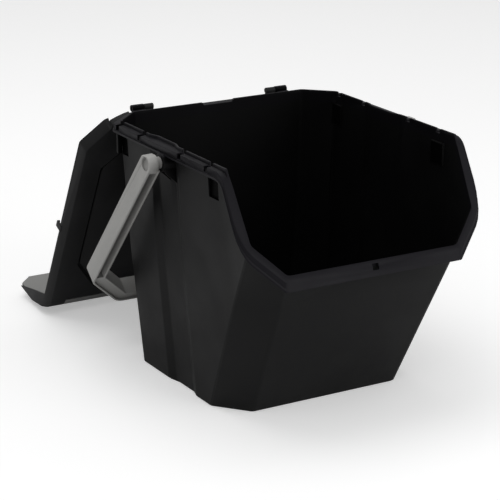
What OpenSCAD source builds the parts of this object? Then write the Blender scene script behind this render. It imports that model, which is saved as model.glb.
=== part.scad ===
// Stacking sorting bin with a sloped scoop front, an attached one-piece lid
// and a swinging bail handle.  Every piece is an injection moulding.
//
// Frame: origin at the centre of the base, on the floor.  +Z is up and the low
// scoop front faces -Y.  The lid is drawn swung open over the back, and the
// handle is drawn hanging behind the body, which is where both of them rest.

/* [Body] */
// Width over the rim flange
rim_w = 320; // [316:1:322]
// Height of the rim flange above the floor
rim_h = 303; // [298:1:308]
// Width of the base
base_w = 262; // [250:1:266]
// Depth of the base
base_d = 242; // [236:1:246]
// Thickness of the walls
wall_t = 2.6; // [2.2:0.1:3]
// Thickness of the floor
floor_t = 3; // [2.5:0.5:4]
// Depth of the hand recess down the middle of each side wall
recess_depth = 4; // [2:0.5:4.5]

/* [Scoop] */
// Distance from the base centre to the shoulder where the side rim turns down
shoulder_y = 159; // [154:1:162]
// Distance from the base centre to the front lip
lip_y = 224; // [221:1:228]
// Height of the front lip above the floor
lip_z = 189; // [185:1:193]
// Width of the front lip between its corners
lip_w = 230; // [220:1:240]

/* [Rim] */
// Thickness of the flange
flange_t = 2.4; // [2:0.1:2.8]
// Depth of the skirt under the flange
skirt_h = 10; // [8:1:11]
// Height of the upstand on top of the flange
upstand_h = 3.6; // [2.5:0.1:3.6]

/* [Lid] */
// Angle from shut to the drawn open position
lid_open = 242.8; // [230:0.2:243]
// Width over the lower edge of the lid skirt
lid_w = 335; // [333:1:335.5]
// Height of the lid top above the floor when it is shut
lid_top_z = 309.6; // [309.6:0.2:311]
// Thickness of the lid
lid_t = 2.4; // [2:0.1:2.4]
// Depth of the side skirt of the lid
lid_skirt_h = 12.5; // [11:0.5:12.5]
// Depth of the stacking panel sunk in the lid
panel_depth = 3; // [2:0.5:3]

/* [Handle] */
// Width over the handle arms
handle_w = 367; // [366:1:375]
// Thickness of a handle arm, across the bin
arm_t = 15; // [12:0.5:15]
// Breadth of a handle arm, front to back
arm_b = 23.4; // [18:0.2:24]
// Distance from the pivot to the outside of the crossbar
handle_reach = 292; // [285:1:300]
// Angle of the hanging handle behind straight down
handle_back = 41; // [39:0.5:44]

/* [Hidden] */

mould_black = [0.12, 0.12, 0.125];
mould_grey = [0.55, 0.55, 0.53];

// Curves
arc_steps = 4;
$fn = 48;

// Larger than anything here, and the amount that a cutter stands out
far = 300;
over = 20;

// Amount that a solid runs into the next, or that a cutter clears a face it is flush with
embed = 1;

// Least step that keeps two faces apart
hair = 0.001;

// Body
mid_z = 150;
mid_bulge = 2.5;
front_lean = 0.5147;
corner_lean = 0.5256;
rear_chamfer = [33, 32.5];
front_chamfer = [33, 41];
front_corner_gain = 0.0772;
base_bevel = 1.2;
top_w = rim_w - 14;
rear_top_y = base_d / 2 + 9;
corner_r = 8;
recess_y = [-46, 22];
recess_run = 13;
recess_r = 14;

// Rim
scoop_slope = (rim_h - lip_z) / (lip_y - shoulder_y);
shoulder_r = 20;
scoop_sink = 0.8;
flange_rear_y = 137.6;
flange_rear_chamfer = [38, 36];
kink_y = 199.5;
bead_h = 3;
bead_out = 1.2;
skirt_t = 2.2;
notch_w = 7.5;
notch_depth = 1.6;
slot_depth = 6.5;
slot_x = top_w / 2 + 0.4;
side_notches = [90, 34.2, -62.5, -124.3];
back_notch = [-22, 18];
back_notch_flare = [6, 10];
latch_slot = [8, 8, 7];
latch_out = 3;

// Lug pockets below the rim, as the y at each one's front and rear
pockets = [[-138, -116], [80, 98]];
pocket_in = 3.8;
pocket_back_t = 1.4;
pocket_h = 24;
pocket_top = rim_h - skirt_h - 3;
lug_rib_t = 4;
lug_rib_x = 155.5;

// Lid hinge
hinge_y = 152;
hinge_z = 304.5;
hinge_lug_x = [94, 110];
hinge_lug_r = 4.2;
lug_foot = 2;
knuckle_x = [80.5, 93.2];
knuckle_r = 3.7;
knuckle_web_in = 3;
knuckle_ease = 0.2;
hinge_pin_r = 2;
running_gap = 0.06;
pin_short = 1;

// Handle pivot
pivot_y = -25;
pivot_z = 285;
boss_r = 11;
boss_x = 164;
pivot_pin_r = 5;
pivot_bore_end = 150;
boss_rib_y = [-33, -17];
boss_rib_t = 2;
boss_rib_h = 26;
boss_rib_in = 2;

// Lid
lid_top_w = lid_w - 11;
lid_rear_y = 135;
lid_rear_lean = 6;
lid_edge_z = lid_top_z - lid_skirt_h;
lid_chamfer = [29, 32];
lid_bend_y = -174;
grip_top_y = -164;
edge_bend_y = -159.6;
apron_bends = [56.7, 74.5];
apron_lengths = [55.5, 55];
cheek_length = 42;
apron_end_w = 289;
apron_taper = [4, 6, 9];
apron_corner = [5, 2];
apron_bend_r = [14, 28];
collar = [[134, 6], [127, 10], [118, 14], [110.6, 16.2]];
collar_in = 4;
collar_lip_z = 301;
tongue_lip_z = 303.6;
rear_gap_half_w = 134;
rear_gap_z = 307;
rim_clear_y = 131;
upstand_gap = 2;
grip_reveal = 1.8;
lid_r = 9;
panel_half_w = 136;
panel_y = [-149, 96];
panel_front_chamfer = [33, 46];
panel_rear_chamfer = [33, 33];
panel_r = 8;
groove_w = 4;
groove_z = panel_depth + 2;
grip_half_w = 141;
grip_corner = [4, 6];
grip_gap = 0.15;
grip_lap = 9;
lap_t = 1.8;
tab_y = [-46, -37];
tab_drop = 10;
tab_hook = 1.4;
tab_root = 3;

// Handle
bar_t = 17.5;
bend_outer = [51, 58];
arm_inner_end = 224;
inner_run = 43.5;
bend_outer_r = [14, 22];
bend_inner_r = 4;
channel_wall = 2.6;
channel_depth = 18.5;
bar_channel_depth = 3;
ridge_t = 2.4;
ridge_depth = 16;
ridge_run = 4;
hub_r = 7;
hub_x = boss_x + 0.3;
hub_full_x = 171.5;
dimple_r = 8;
dimple_depth = 4.6;
dimple_tilt = 15;
arm_top = 11;
arm_top_tilt = 5;
shallow_depth = 2.4;
groove_top_z = -7.5;

// ---- Plane geometry ----

function unit(v) = v / norm(v);

// Unit normal on the left of the edge from a to b
function left(a, b) = let (u = unit(b - a)) [-u[1], u[0]];

// Anticlockwise polygon p with every edge moved inwards by t
function inset(p, t) =
    let (n = len(p))
    [for (i = [0:n - 1])
        let (a = left(p[(i + n - 1) % n], p[i]), b = left(p[i], p[(i + 1) % n]))
        p[i] + t * (a + b) / (1 + a * b)];

// Arc of radius r that rounds the corner b between a and c
function arc_corner(a, b, c, r) =
    let (u = unit(a - b), v = unit(c - b),
         half = acos(u * v) / 2,
         centre = b + unit(u + v) * r / sin(half),
         from = b + u * r / tan(half) - centre,
         to = b + v * r / tan(half) - centre,
         turn = 180 - 2 * half)
    [for (k = [0:arc_steps])
        let (f = k / arc_steps)
        centre + (sin((1 - f) * turn) * from + sin(f * turn) * to) / sin(turn)];

// Polygon p with corner i rounded to radii[i]
function rounded(p, radii) =
    let (n = len(p))
    [for (i = [0:n - 1])
        each arc_corner(p[(i + n - 1) % n], p[i], p[(i + 1) % n], radii[i])];

function same(r, n) = [for (i = [1:n]) r];

function reversed(p) = [for (i = [len(p) - 1:-1:0]) p[i]];

// Eight-sided outline: half width w, from y0 at the front to y1 at the rear,
// with front and rear corners cut off
function octagon(w, y0, y1, front, rear) = [
    [-w + front[0], y0], [w - front[0], y0], [w, y0 + front[1]],
    [w, y1 - rear[1]], [w - rear[0], y1], [-w + rear[0], y1],
    [-w, y1 - rear[1]], [-w, y0 + front[1]]];

// Solid through rings of equally many points, ring k at height z[k]
module loft(rings, z) {
    n = len(rings[0]);
    top = len(rings) - 1;
    points = [for (k = [0:top]) each [for (q = rings[k]) [q[0], q[1], z[k]]]];
    sides = [for (k = [0:top - 1], i = [0:n - 1])
        let (a = k * n + i, b = k * n + (i + 1) % n)
        each [[a, a + n, b], [b, a + n, b + n]]];
    bottom_face = [for (i = [0:n - 1]) i];
    top_face = [for (i = [n - 1:-1:0]) top * n + i];
    polyhedron(points, concat([bottom_face], sides, [top_face]));
}

// Side view outline in (y, z), extruded across the bin between x0 and x1
module across(x0, x1) {
    translate([x0, 0, 0]) rotate([90, 0, 90]) linear_extrude(x1 - x0) children();
}

// Both ends of the bin: the children, and their mirror image in x
module both_sides() {
    children();
    mirror([1, 0, 0]) children();
}

// ---- Body ----

function wall_half_w(z) = lookup(z, [
    [0, base_w / 2],
    [mid_z, (base_w + top_w) / 4 + mid_bulge],
    [rim_h, top_w / 2],
    [rim_h + over, top_w / 2]]);

// Sharp outline of the wall's outer face at height z
function wall_plan(z) =
    let (w = wall_half_w(z),
         front = -base_d / 2 - front_lean * z,
         corner = -base_d / 2 + front_chamfer[1] - corner_lean * z,
         front_x = base_w / 2 - front_chamfer[0] + front_corner_gain * z,
         rear = base_d / 2 + (rear_top_y - base_d / 2) * z / rim_h,
         side = rear - rear_chamfer[1],
         pan = w - recess_depth,
         y0 = recess_y[0],
         y1 = recess_y[1],
         in = recess_run)
    [[-front_x, front], [front_x, front], [w, corner],
     [w, y0], [pan, y0 + in], [pan, y1 - in], [w, y1],
     [w, side], [w - rear_chamfer[0], rear], [rear_chamfer[0] - w, rear], [-w, side],
     [-w, y1], [-pan, y1 - in], [-pan, y0 + in], [-w, y0],
     [-w, corner]];

wall_radii = concat(
    same(corner_r, 3), same(recess_r, 4), same(corner_r, 4), same(recess_r, 4), [corner_r]);

function wall_ring(z, t) = rounded(inset(wall_plan(z), t), wall_radii);

module wall_solid() {
    loft(
        [wall_ring(0, base_bevel), wall_ring(base_bevel, 0), wall_ring(mid_z, 0),
         wall_ring(rim_h, 0), wall_ring(rim_h + over, 0)],
        [0, base_bevel, mid_z, rim_h, rim_h + over]);
}

module cavity_solid() {
    loft(
        [wall_ring(floor_t, wall_t + base_bevel), wall_ring(floor_t + base_bevel, wall_t),
         wall_ring(mid_z, wall_t), wall_ring(rim_h, wall_t), wall_ring(rim_h + over, wall_t)],
        [floor_t, floor_t + base_bevel, mid_z, rim_h, rim_h + over]);
}

// Region below the rim in (y, z): level at the back, then down the scoop, which is
// moved back by the distance in
function rim_region(top, in) = [
    [far, 0], [far, top], [-shoulder_y + in + (top - rim_h) / scoop_slope, top],
    [-far + in, rim_h - scoop_slope * (far - shoulder_y)], [-far + in, -far]];

// Rim line in (y, z), moved t into the region and dropped by drop
function rim_line(t, drop) =
    let (r = inset(rim_region(rim_h, 0), t), corner = arc_corner(r[1], r[2], r[3], shoulder_r - t))
    [for (q = concat([r[1]], corner, [r[3]])) q - [0, drop]];

// Band between the rim line dropped by from and the one dropped by to
module rim_band(from, to) {
    across(-far, far) polygon(concat(rim_line(0, from), reversed(rim_line(0, to))));
}

flange_plan = [
    [-lip_w / 2, -lip_y], [lip_w / 2, -lip_y], [rim_w / 2, -kink_y],
    [rim_w / 2, flange_rear_y - flange_rear_chamfer[1]],
    [rim_w / 2 - flange_rear_chamfer[0], flange_rear_y],
    [flange_rear_chamfer[0] - rim_w / 2, flange_rear_y],
    [-rim_w / 2, flange_rear_y - flange_rear_chamfer[1]], [-rim_w / 2, -kink_y]];

flange_radii = [14, 14, 24, 10, 10, 10, 10, 24];

module flange_ring(out, t) {
    linear_extrude(rim_h + embed)
        difference() {
            polygon(rounded(inset(flange_plan, -out), flange_radii));
            polygon(rounded(inset(flange_plan, t - out), flange_radii));
        }
}

module flange_plate() {
    intersection() {
        linear_extrude(rim_h + embed) polygon(rounded(flange_plan, flange_radii));
        across(-far, far)
            polygon(concat(rim_line(0, 0), reversed(rim_line(flange_t, 0))));
    }
}

module flange_skirt() {
    // Along the lip the skirt ends level
    difference() {
        union() {
            intersection() {
                flange_ring(0, skirt_t);
                rim_band(0, skirt_h);
            }
            intersection() {
                flange_ring(bead_out, skirt_t + bead_out);
                rim_band(skirt_h - bead_h, skirt_h);
            }
        }
        translate([-far, -far, 0]) cube([2 * far, 2 * far, lip_z - skirt_h]);
    }
}

module wall_with_upstand() {
    intersection() {
        wall_solid();
        across(-far, far) polygon(rim_region(rim_h + upstand_h, scoop_sink));
    }
}

// Lug that carries one lid hinge pin, standing behind the rim
module hinge_lug() {
    across(hinge_lug_x[0], hinge_lug_x[1])
        polygon([[rear_top_y - embed, rim_h - skirt_h],
                 [hinge_y - lug_foot, hinge_z - hinge_lug_r],
                 [hinge_y, hinge_z], [hinge_y - hinge_lug_r, rim_h],
                 [rear_top_y - embed, rim_h]]);
    translate([hinge_lug_x[0], hinge_y, hinge_z]) rotate([0, 90, 0])
        cylinder(r = hinge_lug_r, h = hinge_lug_x[1] - hinge_lug_x[0]);
}

module hinge_bore() {
    translate([hinge_lug_x[0] - embed, hinge_y, hinge_z]) rotate([0, 90, 0])
        cylinder(
            r = hinge_pin_r + running_gap,
            h = hinge_lug_x[1] - hinge_lug_x[0] + 2 * embed);
}

// Boss under the rim that carries one end of the handle
module pivot_boss() {
    start = wall_half_w(pivot_z) - recess_depth - embed;
    rib_low = pivot_z - boss_rib_h;
    rib_end = boss_x - boss_rib_in;
    translate([start, pivot_y, pivot_z]) rotate([0, 90, 0])
        cylinder(r = boss_r, h = boss_x - start);
    for (y = boss_rib_y)
        translate([0, y + boss_rib_t / 2, 0]) rotate([90, 0, 0]) linear_extrude(boss_rib_t)
            polygon([[start, pivot_z], [wall_half_w(rib_low) - recess_depth - embed, rib_low],
                     [rib_end, pivot_z - boss_r], [rib_end, pivot_z]]);
}

module pivot_bore() {
    translate([pivot_bore_end, pivot_y, pivot_z]) rotate([0, 90, 0])
        cylinder(r = pivot_pin_r + running_gap, h = over);
}

// Pocket moulded into the side wall under the rim between y[0] and y[1], grown by g on
// its closed sides
module lug_pocket(y, g) {
    x = wall_half_w(pocket_top) - pocket_in - g;
    translate([x, y[0] - g, pocket_top - pocket_h - g])
        cube([over, y[1] - y[0] + 2 * g, pocket_h + 2 * g]);
}

// Upright rib at the rear edge of the rear pocket
module lug_rib() {
    start = wall_half_w(pocket_top - pocket_h) - embed;
    translate([start, pockets[1][1], pocket_top - pocket_h])
        cube([lug_rib_x - start, lug_rib_t, pocket_h]);
}

// Notches in the upstand, each of which becomes a deeper slot across the flange
module rim_notches() {
    for (y = side_notches) {
        translate([top_w / 2 - wall_t - embed, y - notch_w / 2, rim_h - notch_depth])
            cube([over, notch_w, over]);
        translate([slot_x, y - notch_w / 2, rim_h - slot_depth])
            cube([over, notch_w, over]);
    }
}

module back_gap() {
    top = rim_h + back_notch_flare[1];
    translate([0, rear_top_y - wall_t - embed, 0]) rotate([90, 0, 0]) mirror([0, 0, 1])
        linear_extrude(wall_t + 2 * embed)
            polygon([[back_notch[0], rim_h], [back_notch[1], rim_h],
                     [back_notch[1] + back_notch_flare[0], top],
                     [back_notch[0] - back_notch_flare[0], top]]);
}

module latch_hole() {
    translate([-latch_slot[0] / 2, -lip_y - latch_out, lip_z - latch_out])
        cube(latch_slot);
}

module body() {
    color(mould_black)
        difference() {
            union() {
                wall_with_upstand();
                flange_plate();
                flange_skirt();
                both_sides() {
                    hinge_lug();
                    pivot_boss();
                    lug_rib();
                }
            }
            difference() {
                cavity_solid();
                both_sides()
                    for (y = pockets) lug_pocket(y, pocket_back_t);
            }
            both_sides() {
                for (y = pockets) lug_pocket(y, 0);
                hinge_bore();
                pivot_bore();
                rim_notches();
            }
            back_gap();
            latch_hole();
        }
}

// ---- Lid, modelled shut and then swung open ----

module swung_open() {
    translate([0, hinge_y, hinge_z]) rotate([-lid_open, 0, 0])
        translate([0, -hinge_y, -hinge_z]) children();
}

function polar(length, angle) = length * [-cos(angle), -sin(angle)];

apron_top = [lid_bend_y, lid_top_z];
apron_mid = apron_top + polar(apron_lengths[0], apron_bends[0]);
apron_end = apron_mid + polar(apron_lengths[1], apron_bends[1]);
cheek_tip = apron_mid + polar(cheek_length, apron_bends[1]);

// Side view of the lid's outside in (y, z)
function lid_side() =
    let (front = apron_line(0))
    concat(
        [front[0] + [0, hair]], [for (i = [1:len(front) - 2]) front[i]],
        [cheek_tip, [edge_bend_y, lid_edge_z], [lid_rear_y + over, lid_edge_z]]);

// Half width of the lid's outer face at height z
function lid_half_w(z) = lookup(z, [
    [apron_end[1] - over, lid_w / 2 - apron_taper[2]],
    [cheek_tip[1], lid_w / 2 - apron_taper[1]],
    [apron_mid[1], lid_w / 2 - apron_taper[0]],
    [lid_edge_z, lid_w / 2],
    [lid_top_z, lid_top_w / 2],
    [lid_top_z + embed, lid_top_w / 2]]);

lid_levels = [
    apron_end[1] - over, cheek_tip[1], apron_mid[1], lid_edge_z, lid_top_z,
    lid_top_z + embed];

function lid_rear(z) = lid_rear_y - lookup(z, [[lid_edge_z, 0], [lid_top_z, lid_rear_lean]]);

function lid_ring(z, t) =
    rounded(
        inset(octagon(lid_half_w(z), -far, lid_rear(z), [over, over], lid_chamfer), t),
        same(lid_r, 8));

module lid_envelope(t) {
    loft([for (z = lid_levels) lid_ring(z, t)], lid_levels);
}

// Line at depth d under the lid's outside, from the rear to the end of the apron
function apron_line(d) =
    let (n0 = [0, -1],
         n1 = left(apron_top, apron_mid),
         n2 = left(apron_mid, apron_end),
         rear = [lid_rear_y + over, lid_top_z - d],
         top = apron_top + d * (n0 + n1) / (1 + n0 * n1),
         mid = apron_mid + d * (n1 + n2) / (1 + n1 * n2),
         end = apron_end + d * n2)
    concat(
        [rear], arc_corner(rear, top, mid, apron_bend_r[0] - d),
        arc_corner(top, mid, end, apron_bend_r[1] - d), [end]);

// Plate between depths d0 and d1 under the lid's outside
module lid_plate(d0, d1) {
    across(-far, far) polygon(concat(apron_line(d0), reversed(apron_line(d1))));
}

// Opening in the front of the lid that the grip fills, grown by g all round
module grip_window(g) {
    w = grip_half_w + g;
    wide = lid_w / 2;
    low = apron_mid[0] - grip_corner[1];
    translate([0, 0, apron_end[1] - over])
        linear_extrude(far)
            polygon([[w, grip_top_y + g], [-w, grip_top_y + g],
                     [-w - grip_corner[0], apron_mid[0]], [-wide, low], [-wide, -far],
                     [wide, -far], [wide, low], [w + grip_corner[0], apron_mid[0]]]);
}

// Front view of the apron, with its lower corners cut off
module apron_front() {
    wide = lid_w / 2;
    low = apron_end_w / 2;
    corner = [wide - apron_corner[0], cheek_tip[1] + apron_corner[1]];
    translate([0, far, 0]) rotate([90, 0, 0]) linear_extrude(2 * far)
        polygon([[-low, apron_end[1] - over], [low, apron_end[1] - over], [low, apron_end[1]],
                 corner, [wide, lid_top_z + over], [-wide, lid_top_z + over],
                 [-corner[0], corner[1]], [-low, apron_end[1]]]);
}

module panel_block(t, z0, z1) {
    translate([0, 0, z0])
        linear_extrude(z1 - z0)
            polygon(rounded(
                inset(octagon(panel_half_w, panel_y[0], panel_y[1],
                              panel_front_chamfer, panel_rear_chamfer), -t),
                same(panel_r, 8)));
}

// Arm, knuckle and pin of one lid hinge
module lid_knuckle() {
    web_y = lid_rear_y - lid_rear_lean - knuckle_web_in;
    across(knuckle_x[0], knuckle_x[1])
        polygon([[web_y, lid_top_z - lid_t], [web_y, lid_top_z],
                 [hinge_y + embed, hinge_z + knuckle_r - knuckle_ease], [hinge_y, hinge_z],
                 [hinge_y - knuckle_r + knuckle_ease, hinge_z]]);
    translate([knuckle_x[0], hinge_y, hinge_z]) rotate([0, 90, 0])
        cylinder(r = knuckle_r, h = knuckle_x[1] - knuckle_x[0]);
    translate([knuckle_x[0] + embed, hinge_y, hinge_z]) rotate([0, 90, 0])
        cylinder(r = hinge_pin_r, h = hinge_lug_x[1] - pin_short - knuckle_x[0] - embed);
}

// Outline of the lid's rear edge between its corners, t inside it
function tongue_plan(t) =
    let (y = lid_rear_y - lid_rear_lean)
    concat(
        [[t - collar[0][0], y - collar_in], [collar[0][0] - t, y - collar_in]],
        [for (q = collar) [q[0] - t, y + q[1] - t]],
        [for (q = reversed(collar)) [t - q[0], y + q[1] - t]]);

// Part of the lid's rear edge, from z0 up to the lid's top
module tongue_block(z0) {
    translate([0, 0, z0]) linear_extrude(lid_top_z - z0) polygon(tongue_plan(0));
}

// The lid's rear edge reaches back to the hinges, and outside them it turns down behind the rim
module rear_tongue() {
    tongue_half_w = collar[3][0];
    room_half_w = collar[0][0] - lid_t;
    difference() {
        union() {
            tongue_block(tongue_lip_z);
            difference() {
                tongue_block(collar_lip_z);
                translate([-tongue_half_w, 0, 0]) cube([2 * tongue_half_w, far, 2 * far]);
            }
        }
        translate([0, 0, collar_lip_z - embed])
            linear_extrude(lid_top_z - collar_lip_z + embed - lid_t) polygon(tongue_plan(lid_t));
        // Room for the upstand along the back rim
        translate([-room_half_w, 0, collar_lip_z - embed])
            cube([2 * room_half_w, rear_top_y + upstand_gap, lid_top_z - collar_lip_z + embed - lid_t]);
        // Room for the cut-off corners of the flange
        translate([-far, 0, collar_lip_z - embed])
            cube([2 * far, rim_clear_y, tongue_lip_z - collar_lip_z + embed]);
    }
}

// Snap tab that reaches down past the rim skirt
module snap_tab() {
    x = lid_w / 2 - lid_t;
    translate([x, tab_y[0], lid_edge_z - tab_drop])
        cube([lid_t, tab_y[1] - tab_y[0], tab_drop + tab_root]);
    translate([x - tab_hook, tab_y[0], lid_edge_z - tab_drop])
        cube([lid_t + tab_hook, tab_y[1] - tab_y[0], lid_t]);
}

module lid_shell() {
    difference() {
        intersection() {
            lid_envelope(0);
            across(-far, far) polygon(lid_side());
        }
        intersection() {
            lid_envelope(lid_t);
            across(-far, far)
                polygon(concat(apron_line(lid_t), [[-far, 0], [lid_rear_y + over, 0]]));
        }
        // The rear skirt stops short, over the back of the rim
        translate([-rear_gap_half_w, lid_rear_y - over / 2, lid_edge_z - embed])
            cube([2 * rear_gap_half_w, over, rear_gap_z + embed - lid_edge_z]);
        intersection() {
            lid_envelope(lid_t);
            grip_window(0);
        }
    }
}

module lid() {
    color(mould_black)
        swung_open() {
            difference() {
                union() {
                    lid_shell();
                    panel_block(lid_t, lid_top_z - groove_z - lid_t, lid_top_z);
                    rear_tongue();
                    both_sides() {
                        lid_knuckle();
                        snap_tab();
                    }
                }
                // The sunk panel has a groove round its edge
                panel_block(0, lid_top_z - panel_depth, lid_top_z + embed);
                difference() {
                    panel_block(0, lid_top_z - groove_z, lid_top_z);
                    panel_block(-groove_w, lid_top_z - groove_z - embed, lid_top_z + embed);
                }
                panel_block(-groove_w - lid_t, lid_edge_z, lid_top_z - panel_depth - lid_t);
            }
        }
}

module lid_front_grip() {
    color(mould_grey)
        swung_open()
            intersection() {
                union() {
                    // A shadow gap runs along the top edge
                    difference() {
                        intersection() {
                            lid_plate(0, lid_t);
                            grip_window(-grip_gap);
                        }
                        translate([-far, grip_top_y - grip_reveal, lid_top_z - lid_t])
                            cube([2 * far, 2 * grip_reveal, lid_t + embed]);
                    }
                    // Edge that laps under the lid
                    intersection() {
                        lid_plate(lid_t, lid_t + lap_t);
                        grip_window(grip_lap);
                    }
                }
                apron_front();
                lid_envelope(lid_t + grip_gap);
            }
}

// ---- Handle, modelled hanging straight down and then swung back ----

// Polygon p with the four corners in its middle rounded to r[0], r[1], r[1], r[0]
function bail_rounded(p, r) = concat(
    [p[0]], arc_corner(p[0], p[1], p[2], r[0]), arc_corner(p[1], p[2], p[3], r[1]),
    arc_corner(p[2], p[3], p[4], r[1]), arc_corner(p[3], p[4], p[5], r[0]), [p[5]]);

// Outer edge of the handle in (x, z), t inside it
function bail_outer(t) = bail_rounded(inset([
    [-handle_w / 2, 0], [-handle_w / 2, -handle_reach + bend_outer[1]],
    [-handle_w / 2 + bend_outer[0], -handle_reach],
    [handle_w / 2 - bend_outer[0], -handle_reach],
    [handle_w / 2, -handle_reach + bend_outer[1]], [handle_w / 2, 0]], t),
    [bend_outer_r[0] - t, bend_outer_r[1] - t]);

// Inner edge of the handle, t inside it
function bail_inner(t) = bail_rounded(inset([
    [-handle_w / 2 + arm_t, 0], [-handle_w / 2 + arm_t, -arm_inner_end],
    [-handle_w / 2 + arm_t + inner_run, -handle_reach + bar_t],
    [handle_w / 2 - arm_t - inner_run, -handle_reach + bar_t],
    [handle_w / 2 - arm_t, -arm_inner_end], [handle_w / 2 - arm_t, 0]], -t),
    [bend_inner_r + t, bend_inner_r + t]);

// Handle with its edges moved t inwards, from y0 to y1
module bail(t, y0, y1) {
    translate([0, y1, 0]) rotate([90, 0, 0]) linear_extrude(y1 - y0)
        difference() {
            polygon(bail_outer(t));
            polygon(bail_inner(t));
        }
}

// Round end of an arm, with the hub and the pivot pin that enters the boss
module arm_end() {
    outer = handle_w / 2;
    translate([hub_full_x, 0, 0]) rotate([0, 90, 0])
        cylinder(r = arm_b / 2, h = outer - hub_full_x);
    translate([hub_x, 0, 0]) rotate([0, 90, 0])
        cylinder(r = hub_r, h = hub_full_x - hub_x + embed);
    translate([pivot_bore_end + pin_short, 0, 0]) rotate([0, 90, 0])
        cylinder(r = pivot_pin_r, h = hub_full_x - pivot_bore_end);
}

// Grooves in the front of the handle, either side of a ridge in the arms
module bail_channel() {
    half_b = arm_b / 2;
    arm_end_z = -arm_inner_end - ridge_run;
    // The grooves start shallow, beside the pivot
    intersection() {
        bail(channel_wall, -half_b - embed, -half_b + shallow_depth);
        translate([-far, -half_b - 2 * embed, -half_b - embed]) cube([2 * far, arm_b, half_b]);
    }
    difference() {
        bail(channel_wall, -half_b - embed, -half_b + channel_depth);
        // The hub ends stay solid
        translate([-far, -half_b - 2 * embed, groove_top_z]) cube([2 * far, arm_b, 2 * half_b]);
        bail((arm_t - ridge_t) / 2, half_b - ridge_depth, half_b);
        translate([-far, -half_b + bar_channel_depth, arm_end_z - far])
            cube([2 * far, arm_b, far]);
    }
    // Nothing of the ridge shows across the bar
    intersection() {
        bail(channel_wall, -half_b - embed, -half_b + bar_channel_depth);
        translate([-far, -half_b - 2 * embed, arm_end_z - far]) cube([2 * far, arm_b, far]);
    }
}

module handle() {
    color(mould_grey)
        translate([0, pivot_y, pivot_z]) rotate([handle_back, 0, 0])
            difference() {
                union() {
                    bail(0, -arm_b / 2, arm_b / 2);
                    both_sides() arm_end();
                }
                bail_channel();
                both_sides() {
                    // Dimple in the outside of the arm, deepest at its top
                    translate([handle_w / 2 - dimple_depth, 0, 0]) rotate([0, 90 - dimple_tilt, 0])
                        cylinder(r = dimple_r, h = over);
                    // Flat on top of the arm's round end, which clears the rim
                    rotate([-handle_back, 0, 0]) translate([hub_full_x - embed, -arm_b, arm_top])
                        rotate([0, arm_top_tilt, 0]) cube([over, 2 * arm_b, arm_b]);
                }
            }
}

body();
lid();
lid_front_grip();
handle();
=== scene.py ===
"""Looks for the attached lid tote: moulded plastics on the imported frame, a pale studio and the camera."""
import math

import bpy
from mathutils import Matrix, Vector

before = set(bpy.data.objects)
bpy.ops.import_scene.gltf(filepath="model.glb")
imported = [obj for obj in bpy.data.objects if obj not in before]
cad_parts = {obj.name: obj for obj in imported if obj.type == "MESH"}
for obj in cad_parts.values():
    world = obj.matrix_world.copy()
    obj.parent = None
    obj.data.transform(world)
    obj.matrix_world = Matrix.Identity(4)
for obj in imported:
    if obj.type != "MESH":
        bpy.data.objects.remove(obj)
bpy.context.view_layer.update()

MM = 0.001

# Edge rounding on the mouldings, in metres, and the sharpest turn that is left unrounded
ROUNDING = 0.5 * MM
ROUNDING_STEPS = 2
FLAT_TURN = math.radians(38)
WELD_REACH = 0.002 * MM

# Colours, linear
BLACK = (0.0062, 0.0062, 0.0064)
# Painted light: the lid's black is lighter than the body's to make up for the shade the open lid hangs in
LID_BLACK_PAINTED_LIGHT = (0.0160, 0.0160, 0.0165)
RIM_TINT = (0.0070, 0.0064, 0.0088)
SCUFF = (0.030, 0.030, 0.031)
HANDLE_GREY = (0.365, 0.362, 0.350)
# Painted shade: the grip is a darker copy of the handle's grey, for the shade on its inner face
GRIP_GREY_SHADED = (0.250, 0.249, 0.241)
FLOOR = (0.84, 0.84, 0.84)
FLOOR_GLOW = 0.36

# How shiny each plastic is
BLACK_SPECULAR = 0.13
GREY_SPECULAR = 0.45
FLOOR_SPECULAR = 0.1

# The rim: its lower edge along the level sides, and along the scoop, where it is the level of
# height - RIM_SLOPE * depth.  Each is the start and end of a soft step, in metres.
RIM_LEVEL = (0.2925, 0.2932)
RIM_SLOPE = 1.754
RIM_SCOOP = (0.5695, 0.5705)

# A point inside the bin that its inner walls face, one above it that its ledges face too,
# and the share of colour and gloss that the painted shade inside leaves them
BIN_CENTRE = (0.0, 0.0, 0.2)
ABOVE_BIN = (0.0, 0.0, 0.6)
INSIDE_LIT_SHARE = 0.3

# The blind pockets under the side rims, in metres along Y and Z, how far below the wall's face
# their painted shade starts and is full, and the share of gloss and colour it leaves them
POCKET_SPANS = ((-0.138, -0.116), (0.080, 0.098))
POCKET_HEIGHTS = (0.266, 0.290)
POCKET_SUNK = (0.8 * MM, 2.0 * MM)
POCKET_LIT_SHARE = 0.15
POCKET_SHADE_COLOUR = 0.25

# Outside half width of the side wall at one height, and its growth with height
WALL_HEIGHT = 0.150
WALL_HALF_WIDTH = 0.1445
WALL_LEAN = 0.0556

# Studio: light from the room, then each lamp's place, size and power
AIM = (0, 0, 0.15)
ROOM_LIGHT = 0.45
LAMPS = {
    "key": {"place": (-1.1, -1.5, 2.3), "size": (1.6, 1.2), "watts": 7.5},
    "fill": {"place": (1.2, -2.4, 0.9), "size": (1.8, 1.6), "watts": 20},
    "top": {"place": (-0.3, 0.6, 2.6), "size": (2.0, 2.0), "watts": 20},
}
FLOOR_SIZE = 30
FLOOR_DROP = 0.0002

# Camera, in metres and millimetres of lens
CAMERA_PLACE = (-1.1536, -1.9244, 0.8636)
CAMERA_TARGET = (0, 0.053, 0.1329)
CAMERA_LENS = 140.45
CAMERA_SENSOR = 36
CAMERA_REACH = 50


def scaled(colour, factor):
    return [c * factor for c in colour]


# ---- Shader building ----

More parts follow.
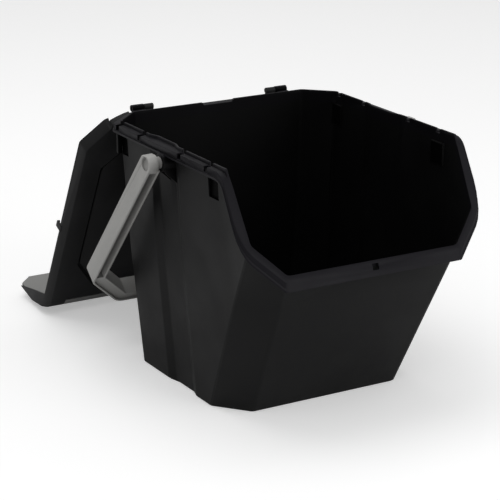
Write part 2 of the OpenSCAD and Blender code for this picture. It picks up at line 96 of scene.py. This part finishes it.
class Graph:
    """A material's node tree, with short calls for the nodes used here."""

    def __init__(self, name):
        self.material = bpy.data.materials.new(name)
        self.material.use_nodes = True
        self.tree = self.material.node_tree
        self.tree.nodes.clear()
        self.place = self.node("ShaderNodeTexCoord").outputs["Object"]

    def node(self, kind, **settings):
        made = self.tree.nodes.new(kind)
        for key, value in settings.items():
            setattr(made, key, value)
        return made

    def feed(self, socket, value):
        if isinstance(value, bpy.types.NodeSocket):
            self.tree.links.new(value, socket)
        else:
            socket.default_value = value

    def math(self, operation, a, b=0.0):
        made = self.node("ShaderNodeMath", operation=operation)
        self.feed(made.inputs[0], a)
        self.feed(made.inputs[1], b)
        return made.outputs[0]

    def times(self, a, b):
        return self.math("MULTIPLY", a, b)

    def dot(self, a, b):
        made = self.node("ShaderNodeVectorMath", operation="DOT_PRODUCT")
        self.feed(made.inputs[0], a)
        self.feed(made.inputs[1], b)
        return made.outputs["Value"]

    def noise(self, scale, detail=2.0, roughness=0.5, stretch=(1, 1, 1), offset=(0, 0, 0)):
        mapping = self.node("ShaderNodeMapping")
        self.feed(mapping.inputs["Vector"], self.place)
        mapping.inputs["Scale"].default_value = stretch
        mapping.inputs["Location"].default_value = offset
        made = self.node("ShaderNodeTexNoise")
        self.feed(made.inputs["Vector"], mapping.outputs[0])
        made.inputs["Scale"].default_value = scale
        made.inputs["Detail"].default_value = detail
        made.inputs["Roughness"].default_value = roughness
        return made.outputs["Fac"]

    def cells(self, scale, smoothness=0.7):
        made = self.node("ShaderNodeTexVoronoi", feature="SMOOTH_F1")
        self.feed(made.inputs["Vector"], self.place)
        made.inputs["Scale"].default_value = scale
        made.inputs["Smoothness"].default_value = smoothness
        return made.outputs["Distance"]

    def ramp(self, value, low, high, out_low=0.0, out_high=1.0):
        made = self.node("ShaderNodeMapRange", interpolation_type="SMOOTHSTEP")
        self.feed(made.inputs["Value"], value)
        made.inputs["From Min"].default_value = low
        made.inputs["From Max"].default_value = high
        made.inputs["To Min"].default_value = out_low
        made.inputs["To Max"].default_value = out_high
        return made.outputs["Result"]

    def between(self, value, span, blur=0.5 * MM):
        """1 where value lies inside span, 0 outside it."""
        low, high = span
        above = self.ramp(value, low - blur, low)
        below = self.ramp(value, high + blur, high)
        return self.times(above, below)

    def mix(self, factor, a, b):
        made = self.node("ShaderNodeMix", data_type="RGBA")
        self.feed(made.inputs[0], factor)
        for socket, colour in ((made.inputs[6], a), (made.inputs[7], b)):
            if isinstance(colour, bpy.types.NodeSocket):
                self.feed(socket, colour)
            else:
                socket.default_value = (*colour, 1.0)
        return made.outputs[2]

    def axis(self, index):
        made = self.node("ShaderNodeSeparateXYZ")
        self.feed(made.inputs[0], self.place)
        return made.outputs[index]

    def edges(self, radius, flat=0.98, sharp=0.80, samples=4):
        """1 where the surface turns sharply, such as on a rim or a corner, and 0 on flats."""
        bevel = self.node("ShaderNodeBevel", samples=samples)
        bevel.inputs["Radius"].default_value = radius
        plain = self.node("ShaderNodeNewGeometry").outputs["Normal"]
        return self.ramp(self.dot(bevel.outputs[0], plain), flat, sharp)

    def bump(self, height, distance, strength=1.0, normal=None):
        made = self.node("ShaderNodeBump")
        self.feed(made.inputs["Height"], height)
        made.inputs["Distance"].default_value = distance
        made.inputs["Strength"].default_value = strength
        if normal is not None:
            self.feed(made.inputs["Normal"], normal)
        return made.outputs[0]

    def open_sky(self, reach, closed, alone=True, shut_at=0.25, open_at=0.85, samples=6):
        """1 on open surfaces, falling to closed in pockets, grooves and deep corners."""
        made = self.node("ShaderNodeAmbientOcclusion", samples=samples, only_local=alone)
        made.inputs["Distance"].default_value = reach
        return self.ramp(made.outputs["AO"], shut_at, open_at, closed, 1.0)

    def inward(self, centre, away=0.01, towards=-0.03):
        """1 on surfaces that face the given point, 0 on surfaces that face away from it."""
        normal = self.node("ShaderNodeNewGeometry").outputs["True Normal"]
        reach = self.node("ShaderNodeVectorMath", operation="SUBTRACT")
        self.feed(reach.inputs[0], self.place)
        reach.inputs[1].default_value = centre
        return self.ramp(self.dot(normal, reach.outputs[0]), away, towards)

    def finish(self, colour, roughness, normal, specular, glow=0.0):
        surface = self.node("ShaderNodeBsdfPrincipled")
        surface.inputs["Emission Color"].default_value = (1, 1, 1, 1)
        self.feed(surface.inputs["Emission Strength"], glow)
        self.feed(surface.inputs["Base Color"], colour)
        self.feed(surface.inputs["Roughness"], roughness)
        self.feed(surface.inputs["Normal"], normal)
        self.feed(surface.inputs["Specular IOR Level"], specular)
        out = self.node("ShaderNodeOutputMaterial")
        self.tree.links.new(surface.outputs[0], out.inputs["Surface"])
        return self.material


def moulded_grain(graph, scale, depth):
    """The fine spark-eroded grain of a moulding, over the slow waviness of a thin wall."""
    fine = graph.times(graph.noise(scale * 2.3, detail=3.0), 0.6)
    grain = graph.math("ADD", graph.cells(scale), fine)
    wavy = graph.bump(graph.noise(9.0), 0.9 * MM, strength=0.35)
    return graph.bump(grain, depth, strength=0.5, normal=wavy)


def rim_band(graph):
    """1 on the rim flange, its skirt and the upstand, 0 below them."""
    height = graph.axis(2)
    fall = graph.math("SUBTRACT", height, graph.times(graph.axis(1), RIM_SLOPE))
    return graph.math("MAXIMUM", graph.ramp(height, *RIM_LEVEL), graph.ramp(fall, *RIM_SCOOP))


def lug_pockets(graph):
    """1 in the blind pockets under the side rims and on their backs, which get painted shade."""
    side = graph.math("ABSOLUTE", graph.axis(0))
    height = graph.axis(2)
    growth = graph.times(graph.math("SUBTRACT", height, WALL_HEIGHT), WALL_LEAN)
    sunk = graph.math("SUBTRACT", graph.math("ADD", growth, WALL_HALF_WIDTH), side)
    front, rear = (graph.between(graph.axis(1), span) for span in POCKET_SPANS)
    place = graph.times(graph.math("MAXIMUM", front, rear), graph.between(height, POCKET_HEIGHTS))
    return graph.times(place, graph.ramp(sunk, *POCKET_SUNK))


def bin_outside(graph, rim):
    """0 on the inner walls, the floor and the ledges inside the bin, 1 elsewhere."""
    ledges = graph.times(graph.inward(ABOVE_BIN), graph.math("SUBTRACT", 1.0, rim))
    inside = graph.math("MAXIMUM", graph.inward(BIN_CENTRE), ledges)
    return graph.math("SUBTRACT", 1.0, inside)


def rubbing(graph, cloud):
    """Pale rubbing on edges and a few long scuffs."""
    patches = graph.ramp(graph.noise(42.0, detail=5.0, roughness=0.65), 0.42, 0.75)
    worn = graph.times(graph.edges(0.9 * MM), patches)
    scratches = graph.noise(
        34.0, detail=6.0, roughness=0.72, stretch=(1.0, 1.0, 0.16), offset=(3.1, 0.7, 1.9))
    marks = graph.times(graph.ramp(scratches, 0.665, 0.74), graph.ramp(cloud, 0.5, 0.66))
    return graph.math("MAXIMUM", graph.times(worn, 0.45), graph.times(marks, 0.35))


def black_plastic(name, base, is_body):
    graph = Graph(name)
    cloud = graph.noise(14.0, detail=4.0, roughness=0.6)
    colour = graph.mix(graph.ramp(cloud, 0.35, 0.7), base, scaled(base, 1.35))
    wear = rubbing(graph, cloud)
    # Painted shade: 1 on open surfaces, less in pockets and grooves; it darkens the colour and dims the
    # gloss
    lit_share = graph.open_sky(60 * MM, 0.15)
    if is_body:
        # The rim is a slightly cooler black than the walls
        rim = rim_band(graph)
        colour = graph.mix(rim, colour, RIM_TINT)
        # Painted shade, not a second plastic: the inside is given a darker, duller black without scuffs
        outside = bin_outside(graph, rim)
        wear = graph.times(wear, outside)
        lit_share = graph.times(lit_share, graph.ramp(outside, 0.0, 1.0, INSIDE_LIT_SHARE, 1.0))
        # Painted shade: the pockets under the side rims lose most of their gloss
        pockets = lug_pockets(graph)
        lit_share = graph.times(lit_share, graph.ramp(pockets, 0.0, 1.0, 1.0, POCKET_LIT_SHARE))
    colour = graph.mix(wear, colour, SCUFF)
    # Painted shade: pockets, grooves and the inside of the bin are darker and lose their gloss
    colour = graph.mix(lit_share, scaled(base, 0.3), colour)
    if is_body:
        # Painted shade: the pockets get a near-black copy of the base colour
        colour = graph.mix(pockets, colour, scaled(base, POCKET_SHADE_COLOUR))
    roughness = graph.math("ADD", graph.ramp(cloud, 0.3, 0.75, 0.44, 0.56), graph.times(wear, 0.12))
    normal = moulded_grain(graph, 900.0, 0.06 * MM)
    return graph.finish(colour, roughness, normal, graph.times(lit_share, BLACK_SPECULAR))


def grey_plastic(name, base):
    graph = Graph(name)
    cloud = graph.noise(18.0, detail=4.0, roughness=0.6, offset=(0.4, 2.2, 0.0))
    colour = graph.mix(graph.ramp(cloud, 0.3, 0.75), base, scaled(base, 1.10))
    speckle = graph.ramp(graph.noise(520.0), 0.55, 0.75)
    colour = graph.mix(graph.times(speckle, 0.18), colour, scaled(base, 0.8))
    patches = graph.ramp(graph.noise(55.0, detail=5.0, roughness=0.65), 0.4, 0.7)
    worn = graph.times(graph.edges(1.1 * MM), patches)
    colour = graph.mix(graph.times(worn, 0.6), colour, scaled(base, 1.25))
    # Painted shade: grooves and the insides of bends are darker
    shade = graph.open_sky(70 * MM, 0.45, alone=False)
    colour = graph.mix(shade, scaled(base, 0.35), colour)
    roughness = graph.ramp(cloud, 0.3, 0.75, 0.46, 0.58)
    normal = moulded_grain(graph, 800.0, 0.07 * MM)
    return graph.finish(colour, roughness, normal, GREY_SPECULAR)


def floor_plastic():
    graph = Graph("studio_floor")
    tone = graph.ramp(graph.noise(1.2, detail=3.0), 0.3, 0.7)
    colour = graph.mix(tone, FLOOR, scaled(FLOOR, 1.01))
    normal = graph.bump(graph.noise(260.0), 0.05 * MM, strength=0.2)
    seen = graph.node("ShaderNodeLightPath").outputs["Is Camera Ray"]
    return graph.finish(colour, 0.75, normal, FLOOR_SPECULAR, graph.times(seen, FLOOR_GLOW))


# ---- Frame nodes ----

def dress(node, material):
    """Gives a CAD node its material, soft moulded edges and smooth curves."""
    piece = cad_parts[node]
    piece.data.materials.clear()
    piece.data.materials.append(material)
    for face in piece.data.polygons:
        face.use_smooth = True
    weld = piece.modifiers.new("weld", "WELD")
    weld.merge_threshold = WELD_REACH
    bevel = piece.modifiers.new("rounding", "BEVEL")
    bevel.width = ROUNDING
    bevel.segments = ROUNDING_STEPS
    bevel.limit_method = "ANGLE"
    bevel.angle_limit = FLAT_TURN
    bevel.use_clamp_overlap = False
    bevel.harden_normals = True


dress("body", black_plastic("body_plastic", BLACK, True))
dress("lid", black_plastic("lid_plastic", LID_BLACK_PAINTED_LIGHT, False))
dress("lid_front_grip", grey_plastic("grip_plastic", GRIP_GREY_SHADED))
dress("handle", grey_plastic("handle_plastic", HANDLE_GREY))


# ---- Studio ----

def aimed(thing, place, target):
    """Puts a lamp or camera in the scene at place, looking at target."""
    made = bpy.data.objects.new(thing.name, thing)
    bpy.context.scene.collection.objects.link(made)
    made.location = place
    made.rotation_euler = (Vector(target) - Vector(place)).to_track_quat("-Z", "Y").to_euler()
    return made


def floor():
    bpy.ops.mesh.primitive_plane_add(size=FLOOR_SIZE, location=(0, 0, -FLOOR_DROP))
    plane = bpy.context.object
    plane.name = "floor"
    plane.data.materials.append(floor_plastic())


def room(strength):
    """A white room that lights the object at the given strength and looks plain white behind it."""
    made = bpy.data.worlds.new("studio")
    made.use_nodes = True
    tree = made.node_tree
    background = tree.nodes["Background"]
    background.inputs["Color"].default_value = (1, 1, 1, 1)
    seen = tree.nodes.new("ShaderNodeLightPath").outputs["Is Camera Ray"]
    level = tree.nodes.new("ShaderNodeMapRange")
    level.inputs["To Min"].default_value = strength
    level.inputs["To Max"].default_value = 1.0
    tree.links.new(seen, level.inputs["Value"])
    tree.links.new(level.outputs["Result"], background.inputs["Strength"])
    bpy.context.scene.world = made


def softbox(name, place, size, watts):
    data = bpy.data.lights.new(name, "AREA")
    data.shape = "RECTANGLE"
    data.size, data.size_y = size
    data.energy = watts
    aimed(data, place, AIM)


def camera():
    data = bpy.data.cameras.new("camera")
    data.lens = CAMERA_LENS
    data.sensor_width = CAMERA_SENSOR
    data.clip_end = CAMERA_REACH
    bpy.context.scene.camera = aimed(data, CAMERA_PLACE, CAMERA_TARGET)


floor()
room(ROOM_LIGHT)
for lamp_name, lamp in LAMPS.items():
    softbox(lamp_name, **lamp)
camera()
bpy.context.scene.view_settings.view_transform = "Standard"
